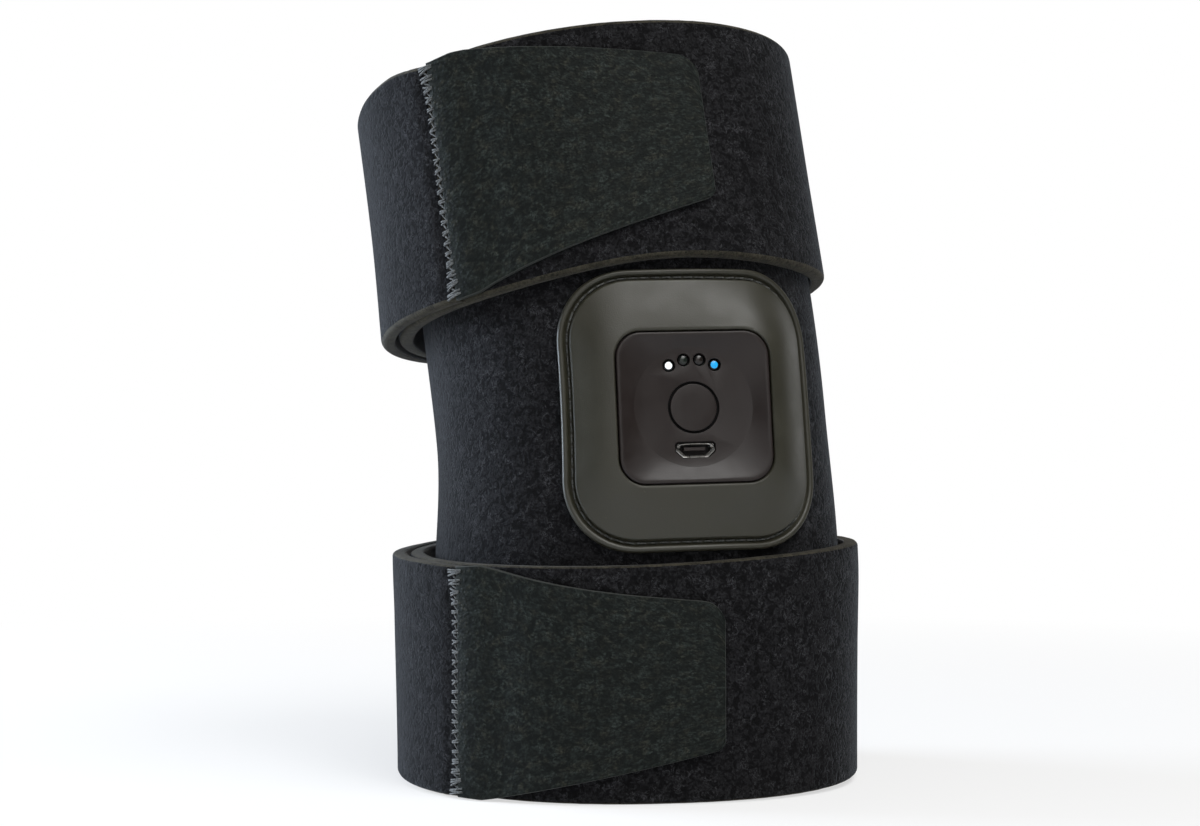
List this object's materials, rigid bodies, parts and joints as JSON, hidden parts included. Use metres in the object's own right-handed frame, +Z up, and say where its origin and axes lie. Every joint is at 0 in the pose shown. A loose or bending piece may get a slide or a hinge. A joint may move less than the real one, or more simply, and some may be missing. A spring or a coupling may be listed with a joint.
{
  "type": "vibrating thigh wrap",
  "caption": "Soft wrap-around thigh belt closed by hook tabs above and below, with a square push-button controller on its front panel and vibrating capsules under its lining.",
  "frame": {"origin": "bottom centre of the bounding box, on the surface that the lower strap's edge stands on", "axes": "+Z up the thigh, -Y out of the controller's side of the wrap, +X to the right as the controller is seen from outside, with its button upright"},
  "size_m": [0.1218, 0.123, 0.1835],
  "materials": {
    "velour_cloth": "black brushed velour over neoprene foam",
    "hook_tape": "dense dark hook tape",
    "lining_cloth": "smooth black knit",
    "silicone": "matte dark grey silicone",
    "case_plastic": "fine satin grey-brown",
    "inner_plastic": "plain black moulding",
    "pale_plastic": "white moulding",
    "lens_white": "lit diffuser",
    "lens_dark": "unlit smoked window",
    "lens_blue": "lit blue diffuser",
    "bright_metal": "drawn sheet, tin plated",
    "dull_steel": "zinc plated",
    "board_green": "solder mask",
    "battery_foil": "laminated foil pouch",
    "lead_rubber": "flat moulded lead",
    "weight_brass": "sintered"
  },
  "bodies": {
    "wrap": {"wrap_panel": "velour_cloth", "lower_strap": "velour_cloth", "upper_strap": "velour_cloth", "lining": "lining_cloth", "actuator_band": "silicone", "bezel_frame": "silicone", "front_cover": "case_plastic", "rear_cover": "inner_plastic", "switch_body": "bright_metal", "light_lens_1": "lens_white", "light_lens_2": "lens_dark", "light_lens_3": "lens_dark", "light_lens_4": "lens_blue", "light_chip_1": "pale_plastic", "light_chip_2": "pale_plastic", "light_chip_3": "pale_plastic", "light_chip_4": "pale_plastic", "socket_shell": "bright_metal", "socket_tongue": "inner_plastic", "circuit_board": "board_green", "processor": "inner_plastic", "battery_cell": "battery_foil", "case_screw_1": "dull_steel", "case_screw_2": "dull_steel", "case_screw_3": "dull_steel", "case_screw_4": "dull_steel", "flat_lead_left": "lead_rubber", "flat_lead_right": "lead_rubber", "capsule_lid_left": "inner_plastic", "capsule_lid_right": "inner_plastic", "capsule_cup_left": "inner_plastic", "capsule_cup_right": "inner_plastic", "motor_can_left": "bright_metal", "motor_can_right": "bright_metal"},
    "upper_tab": {"upper_hook_tab": "hook_tape"},
    "lower_tab": {"lower_hook_tab": "hook_tape"},
    "button": {"power_button": "case_plastic", "switch_plunger": "inner_plastic"},
    "weight_left": {"eccentric_weight_left": "weight_brass", "motor_shaft_left": "dull_steel"},
    "weight_right": {"eccentric_weight_right": "weight_brass", "motor_shaft_right": "dull_steel"}
  },
  "joints": [
    {"name": "upper_tab_peel", "type": "hinge", "parent": "wrap", "child": "upper_tab", "pos_m": [-0.04595, -0.03395, 0.14577], "axis": [0.1027, -0.188, -0.9768], "range_deg": [0, 110]},
    {"name": "lower_tab_peel", "type": "hinge", "parent": "wrap", "child": "lower_tab", "pos_m": [-0.04343, -0.04258, 0.02787], "axis": [0.0122, 0.0056, -0.9999], "range_deg": [0, 110]},
    {"name": "button_press", "type": "slide", "parent": "wrap", "child": "button", "axis": [0.0034, 0.9943, -0.1069], "range_m": [0, 0.0004], "stiffness_N_per_m": 3000},
    {"name": "eccentric_spin_left", "type": "hinge", "parent": "wrap", "child": "weight_left", "pos_m": [-0.02323, -0.03139, 0.08643], "axis": [-0.7371, -0.6753, 0.026], "continuous": true},
    {"name": "eccentric_spin_right", "type": "hinge", "parent": "wrap", "child": "weight_right", "pos_m": [0.03865, -0.025, 0.08967], "axis": [0.901, -0.4216, 0.1026], "continuous": true}
  ]
}
